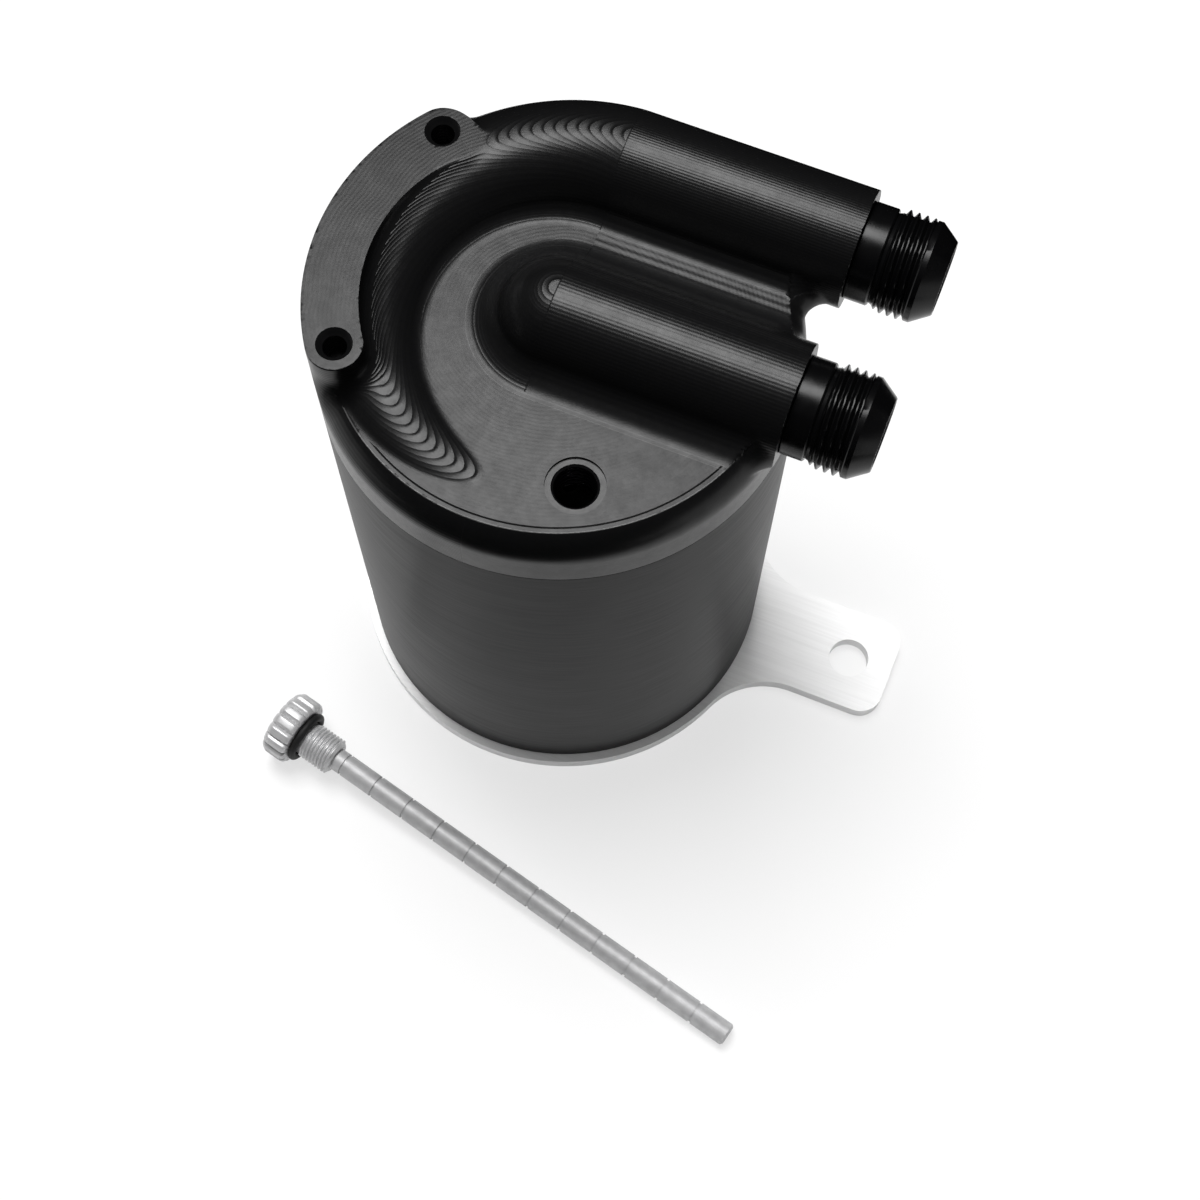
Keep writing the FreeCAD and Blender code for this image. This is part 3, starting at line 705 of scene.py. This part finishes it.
def smooth_black():
    """The fittings: smooth, slightly glossy black."""
    paint = Paint("smooth_black", (0.002, 0.002, 0.0022), 0.24, ior=LID_IOR)
    paint.bump(paint.noise(1200.0, 3.0, stretch=(4.0, 0.4, 0.4)), 0.004)
    paint.vary("Roughness", paint.noise(300.0), 0.2, 0.28)
    return paint.material


def brushed_bare():
    """The bracket: bare aluminium plate, brushed along its arm."""
    paint = Paint("brushed_bare", (0.92, 0.92, 0.92), 0.42, metallic=0.15)
    lines = paint.noise(1000.0, 5.0, stretch=(0.04, 1.6, 1.6))
    paint.bump(lines, 0.015)
    paint.tint(lines, (0.88, 0.88, 0.88), (0.96, 0.96, 0.96))
    return paint.material


def matte_bare():
    """The dipstick: matte bare aluminium."""
    paint = Paint("matte_bare", (0.5, 0.5, 0.505), 0.48, metallic=0.3)
    paint.bump(paint.noise(1500.0, 4.0), 0.02)
    paint.tint(paint.noise(420.0, 5.0), (0.44, 0.44, 0.445), (0.54, 0.54, 0.545))
    return paint.material


def knob_bare():
    """The dipstick's knob: a little brighter, turned and fluted."""
    paint = Paint("knob_bare", (0.56, 0.56, 0.565), 0.42, metallic=0.4)
    paint.bump(paint.noise(1500.0, 4.0), 0.015)
    paint.tint(paint.noise(420.0, 5.0), (0.51, 0.51, 0.515), (0.61, 0.61, 0.615))
    return paint.material


def inner_bare():
    """Turned aluminium inside the can."""
    paint = Paint("inner_bare", (0.62, 0.62, 0.63), 0.38, metallic=0.9)
    paint.bump(paint.noise(900.0, 3.0, stretch=(0.2, 0.2, 3.0)), 0.012)
    paint.tint(paint.noise(80.0), (0.58, 0.58, 0.59), (0.66, 0.66, 0.67))
    return paint.material


def plated_steel():
    """Screws."""
    paint = Paint("plated_steel", (0.5, 0.5, 0.51), 0.32, metallic=1.0)
    paint.bump(paint.noise(1100.0), 0.008)
    paint.tint(paint.noise(400.0), (0.44, 0.44, 0.45), (0.55, 0.55, 0.56))
    return paint.material


def black_rubber():
    """Sealing rings."""
    paint = Paint("black_rubber", (0.012, 0.012, 0.012), 0.55, ior=LID_IOR)
    paint.bump(paint.noise(1600.0), 0.01)
    paint.tint(paint.noise(500.0), (0.009, 0.009, 0.009), (0.016, 0.016, 0.016))
    return paint.material


def make_lid(material):
    """The lid: its milled top, and the turned skirt, spigot and boss below."""
    on_hollow, past_end, below_top = 0.05, 0.01, 0.001
    sides = CAN_RADIUS + LID_MARGIN
    low = (-sides, -sides, TUBE_HEIGHT - TUBE_RADIUS - LID_MARGIN)
    high = (TUBE_END + LID_MARGIN, sides, TUBE_HEIGHT + TUBE_RADIUS + LID_MARGIN)
    points, faces = surface(lid_distance, low, high, LID_STEP)
    points = np.minimum(points, (TUBE_END + past_end, CAN_RADIUS, TUBE_HEIGHT + TUBE_RADIUS - below_top))
    centres = points[faces].mean(axis=1)
    inside = hollow_distance(*centres.T) < on_hollow
    hollow = SPIGOT_RADIUS - SPIGOT_WALL
    groove = SPIGOT_RADIUS - RING_GROOVE_DEPTH
    skirt = turned_shape([
        (SPIGOT_FOOT, hollow),
        (SPIGOT_FOOT, SPIGOT_RADIUS - SPIGOT_BEVEL),
        (SPIGOT_FOOT + SPIGOT_BEVEL, SPIGOT_RADIUS),
        (RING_GROOVE[0], SPIGOT_RADIUS),
        (RING_GROOVE[0], groove),
        (RING_GROOVE[1], groove),
        (RING_GROOVE[1], SPIGOT_RADIUS),
        (SEAM, SPIGOT_RADIUS),
        (SEAM, CAN_RADIUS - EDGE_BREAK),
        (SEAM + EDGE_BREAK, CAN_RADIUS),
        (UNDERSIDE, CAN_RADIUS),
        (UNDERSIDE, hollow),
    ], "Z", segments=240)
    boss = turned_shape([
        (BOSS_FOOT, TUBE_BORE),
        (BOSS_FOOT, BOSS_RADIUS),
        (UNDERSIDE, BOSS_RADIUS),
        (UNDERSIDE, TUBE_BORE),
    ], "Z", segments=96)
    outer = part_of(points, faces[~inside])
    inner = joined_shapes(part_of(points, faces[inside]), skirt, boss)
    piece = mesh_object("milled_lid", *outer, "lid", material, "anodised_lid")
    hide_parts("lid")
    mesh_object("lid_inside", *inner, "lid", material, "anodised_lid")


# The hose fittings, along their own line from the tube's end. The thread is 7/8 inch, 14 to the inch.
HOSE_PITCH = 25.4 / 14
HOSE_CREST = 11.11
HOSE_ROOT = 10.0
HOSE_THREAD = (6.2, 13.4)
HOSE_RUN_IN = 0.9
HOSE_THREAD_ROWS = 72
FITTING_BORE = 6.9
SHANK_END = -13.0
SHANK_RADIUS = 9.4
SHANK_BEVEL = 0.5
SEAL_SEAT = -2.4
SEAL_SEAT_RADIUS = 8.1
COLLAR_LENGTH = 5.3
COLLAR_RADIUS = 10.55
COLLAR_BEVEL = 0.3
NECK_RADIUS = 9.7
CONE_FOOT = (13.6, 14.7)
CONE_RADIUS = 10.9
NOSE_END = 18.8
NOSE_RADIUS = 8.0

# The dipstick, along its own line from the knob's face. Its plug has a thread of 10 mm, 1 mm a turn.
KNOB_RADIUS = 9.0
KNOB_LENGTH = 7.0
FLUTES = 16
FLUTE_DEPTH = 1.0
FLUTES_OUTSIDE = 7.0
PLUG_PITCH = 1.0
PLUG_CREST = 5.0
PLUG_ROOT = 4.45
PLUG_NECK_RADIUS = 4.6
PLUG_THREAD_START = 9.4
PLUG_THREAD_LENGTH = 8.0
PLUG_THREAD_ROWS = 76
PLUG_END = 18.0
ROD_START = 8.0
ROD_RADIUS = 3.0
STICK_LENGTH = 141.0
STICK_PLACE = (-52.2, -68.7)
STICK_HEADING = math.radians(-13.0)
STICK_LIFT = 0.01


def thread_radius(along, angle, pitch, crest, root):
    """The radius of a V thread with narrow flats at one place."""
    flat, flank = 0.12, 0.72
    phase = along / pitch - angle / (2 * math.pi)
    wave = abs(2 * (phase - math.floor(phase)) - 1)
    return root + (crest - root) * min(max((wave - flat) / flank, 0), 1)


def make_fitting(name, back, material):
    """A flare fitting with a real helical hose thread."""
    first, last = HOSE_THREAD
    profile = [
        (SHANK_END, FITTING_BORE),
        (SHANK_END, SHANK_RADIUS - SHANK_BEVEL),
        (SHANK_END + SHANK_BEVEL, SHANK_RADIUS),
        (SEAL_SEAT, SHANK_RADIUS),
        (SEAL_SEAT, SEAL_SEAT_RADIUS),
        (0.0, SEAL_SEAT_RADIUS),
        (0.0, COLLAR_RADIUS - COLLAR_BEVEL),
        (COLLAR_BEVEL, COLLAR_RADIUS),
        (COLLAR_LENGTH - COLLAR_BEVEL, COLLAR_RADIUS),
        (COLLAR_LENGTH, COLLAR_RADIUS - COLLAR_BEVEL),
        (COLLAR_LENGTH, NECK_RADIUS),
    ]
    for row in range(HOSE_THREAD_ROWS + 1):
        profile.append((first + (last - first) * row / HOSE_THREAD_ROWS, HOSE_CREST))
    profile += [
        (CONE_FOOT[0], CONE_RADIUS),
        (CONE_FOOT[1], CONE_RADIUS),
        (NOSE_END - 0.3, NOSE_RADIUS + 0.2),
        (NOSE_END, NOSE_RADIUS - 0.1),
        (NOSE_END, FITTING_BORE + 0.4),
        (NOSE_END - 0.4, FITTING_BORE),
    ]

    def radius_at(along, radius, angle):
        if radius != HOSE_CREST:
            return radius
        start = min((along - first) / HOSE_RUN_IN, 1.0)
        highest = HOSE_ROOT + (HOSE_CREST - HOSE_ROOT) * start
        return min(thread_radius(along, angle, HOSE_PITCH, HOSE_CREST, HOSE_ROOT), highest)

    points, faces = turned_shape(profile, "X", segments=144, radius_at=radius_at)
    points = np.array(points) + (TUBE_END, back, TUBE_HEIGHT)
    piece = mesh_object(name + "_detail", points, faces, "lid", material, "anodised_fitting")
    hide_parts(name)


def stick_matrix():
    """The dipstick's turn and place: its knob and its tip both touch the floor."""
    tilt = math.atan2(KNOB_RADIUS - ROD_RADIUS, STICK_LENGTH - KNOB_LENGTH)
    height = KNOB_RADIUS * math.cos(tilt) + KNOB_LENGTH * math.sin(tilt) + STICK_LIFT
    heading = Matrix.Rotation(STICK_HEADING, 3, "Z")
    return heading @ Matrix.Rotation(tilt, 3, "Y"), Vector((*STICK_PLACE, height))


def make_knob(material):
    """The dipstick's fluted knob and its threaded plug."""
    middle = 0.02
    flute_share, flute_power = 0.75, 1.3
    profile = [
        (0.0, middle),
        (0.0, 5.0),
        (0.0, 7.6),
        (0.25, 8.2),
        (0.9, 8.75),
        (1.5, KNOB_RADIUS),
        (2.6, KNOB_RADIUS),
        (3.7, KNOB_RADIUS),
        (4.8, KNOB_RADIUS),
        (5.9, KNOB_RADIUS),
        (6.5, 8.8),
        (6.9, 8.4),
        (KNOB_LENGTH, 8.0),
        (KNOB_LENGTH, PLUG_NECK_RADIUS),
        (PLUG_THREAD_START - 0.1, PLUG_NECK_RADIUS),
    ]
    for row in range(PLUG_THREAD_ROWS + 1):
        profile.append((PLUG_THREAD_START + PLUG_THREAD_LENGTH * row / PLUG_THREAD_ROWS, PLUG_CREST))
    profile += [
        (PLUG_END - 0.4, PLUG_CREST - 0.6),
        (PLUG_END, PLUG_CREST - 1.0),
        (PLUG_END, ROD_RADIUS),
        (ROD_START, ROD_RADIUS),
        (ROD_START, middle),
    ]

    def radius_at(along, radius, angle):
        if radius == PLUG_CREST:
            return thread_radius(along, angle, PLUG_PITCH, PLUG_CREST, PLUG_ROOT)
        if along <= KNOB_LENGTH and radius > FLUTES_OUTSIDE:
            wave = abs(math.sin(angle * FLUTES / 2))
            return radius - FLUTE_DEPTH * max(0.0, 1.0 - wave / flute_share) ** flute_power
        return radius

    points, faces = turned_shape(profile, "X", segments=288, radius_at=radius_at)
    turn, place = stick_matrix()
    points = [turn @ Vector(point) + place for point in points]
    piece = mesh_object("knob_detail", points, faces, "cup", material, "stick_aluminium")
    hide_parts("dipstick_knob")


def repaint(names, material):
    """Give carried-over nodes their finish."""
    for name in names:
        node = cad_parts[name]
        for slot in node.material_slots:
            slot.material = material
        smooth(node)


def make_camera():
    """The photograph's viewing angle."""
    forward = Vector((
        -math.sin(CAMERA_YAW) * math.cos(CAMERA_PITCH),
        math.cos(CAMERA_YAW) * math.cos(CAMERA_PITCH),
        -math.sin(CAMERA_PITCH),
    ))
    level = Vector((math.cos(CAMERA_YAW), math.sin(CAMERA_YAW), 0))
    upright = level.cross(forward)
    right = level * math.cos(CAMERA_ROLL) + upright * math.sin(CAMERA_ROLL)
    up = upright * math.cos(CAMERA_ROLL) - level * math.sin(CAMERA_ROLL)
    data = bpy.data.cameras.new("camera")
    data.lens = LENS
    data.sensor_width = SENSOR
    data.shift_x, data.shift_y = LENS_SHIFT
    data.clip_start = 10 * MM
    camera = bpy.data.objects.new("camera", data)
    turn = Matrix((right, up, -forward)).transposed().to_4x4()
    camera.matrix_world = Matrix.Translation(Vector(CAMERA_PLACE) * MM) @ turn
    bpy.context.scene.collection.objects.link(camera)
    bpy.context.scene.camera = camera


def make_floor():
    """A plain pale floor that keeps the object's shadow."""
    half = 0.55
    mesh = bpy.data.meshes.new("floor")
    corners = [(-half, -half, 0), (half, -half, 0), (half, half, 0), (-half, half, 0)]
    mesh.from_pydata(corners, [], [(0, 1, 2, 3)])
    floor = bpy.data.objects.new("floor", mesh)
    bpy.context.scene.collection.objects.link(floor)
    paint = Paint("pale_floor", (0.93, 0.93, 0.93), 0.7, ior=1.2)
    mesh.materials.append(paint.material)
    glow = paint.node("ShaderNodeEmission", (1, 1, 1, 1), 1.0)
    share = paint.math("MULTIPLY", paint.seen(), FLOOR_GLOW)
    pick = paint.node("ShaderNodeMixShader", share, paint.shader.outputs[0], glow.outputs[0])
    paint.tree.links.new(pick.outputs[0], paint.tree.nodes["Material Output"].inputs["Surface"])


def make_lamp(name, place, aim, size, power):
    """A flat lamp that shines from its place to its aim, in metres and watts."""
    data = bpy.data.lights.new(name, "AREA")
    data.shape = "RECTANGLE"
    data.size, data.size_y = size
    data.energy = power
    lamp = bpy.data.objects.new(name, data)
    lamp.location = place
    lamp.rotation_euler = (Vector(aim) - Vector(place)).to_track_quat("-Z", "Y").to_euler()
    bpy.context.scene.collection.objects.link(lamp)
    return lamp


def make_card(name, low, high):
    """A black card, level or upright, that keeps the white surroundings out of the gloss on its side."""
    mesh = bpy.data.meshes.new(name)
    near = [low, (high[0], low[1], low[2])]
    far = [high, (low[0], high[1], high[2])]
    mesh.from_pydata(near + far, [], [(0, 1, 2, 3)])
    card = bpy.data.objects.new(name, mesh)
    bpy.context.scene.collection.objects.link(card)
    mesh.materials.append(Paint(name, (0.001, 0.001, 0.001), 1.0, ior=1.0).material)
    card.visible_camera = card.visible_diffuse = card.visible_shadow = card.visible_transmission = False


def make_sky():
    """A white horizon under a dim sky. It is white only where it is seen, also in reflections."""
    white_up_to, dim_from = 0.05, 0.12
    world = bpy.data.worlds.new("world")
    bpy.context.scene.world = world
    world.use_nodes = True
    sky = Nodes(world.node_tree)
    way = sky.tree.nodes.new("ShaderNodeTexCoord").outputs["Generated"]
    rise = sky.node("ShaderNodeSeparateXYZ", way).outputs["Z"]
    low = sky.mapped(rise, white_up_to, dim_from, 1.0, 0.0)
    strength = sky.mapped(sky.math("MULTIPLY", low, sky.seen()), 0.0, 1.0, SKY_DIM, 1.0)
    back = sky.tree.nodes["Background"]
    back.inputs["Color"].default_value = (1, 1, 1, 1)
    sky.tree.links.new(strength, back.inputs["Strength"])


def make_light():
    """A soft lamp overhead, a wide one that only fills, and three cards round the object."""
    make_lamp("softbox", place=(-0.4, 0.52, 2.16), aim=(0, 0, 0.14), size=(1.0, 1.16), power=52.0)
    fill = make_lamp("wide_fill", place=(0, 0, 1.3), aim=(0, 0, 0), size=(1.2, 1.2), power=6.0)
    fill.visible_glossy = False
    make_card("card_behind", low=(-0.3, 0.13, 0.05), high=(0.3, 0.13, 0.27))
    make_card("card_in_front", low=(-0.4, -0.35, 0.05), high=(0.65, -0.35, 0.5))
    make_card("card_on_floor", low=(-0.3, -0.62, 0.0005), high=(0.45, -0.16, 0.0005))


make_camera()
make_floor()
make_sky()
make_light()

milled, turned, fitted = milled_black(), turned_black(), smooth_black()
brushed, matte, bright, inner = brushed_bare(), matte_bare(), knob_bare(), inner_bare()
steel, rubber = plated_steel(), black_rubber()

make_lid(milled)
make_fitting("inlet_fitting", INLET_BACK, fitted)
make_fitting("outlet_fitting", 0.0, fitted)
make_knob(bright)

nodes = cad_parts
repaint(["lid"], milled)
repaint(["inlet_fitting", "outlet_fitting"], fitted)
repaint(["cup"], turned)
repaint(["mounting_bracket"], brushed)
repaint(["dipstick_rod"], matte)
repaint(["dipstick_knob"], bright)
repaint([name for name in nodes if name.endswith("seal")], rubber)
repaint([name for name in nodes if "_screw_" in name], steel)
repaint([name for name in nodes if "_post_" in name] + ["baffle_plate", "outlet_tube"], inner)

bpy.context.scene.view_settings.view_transform = "Standard"
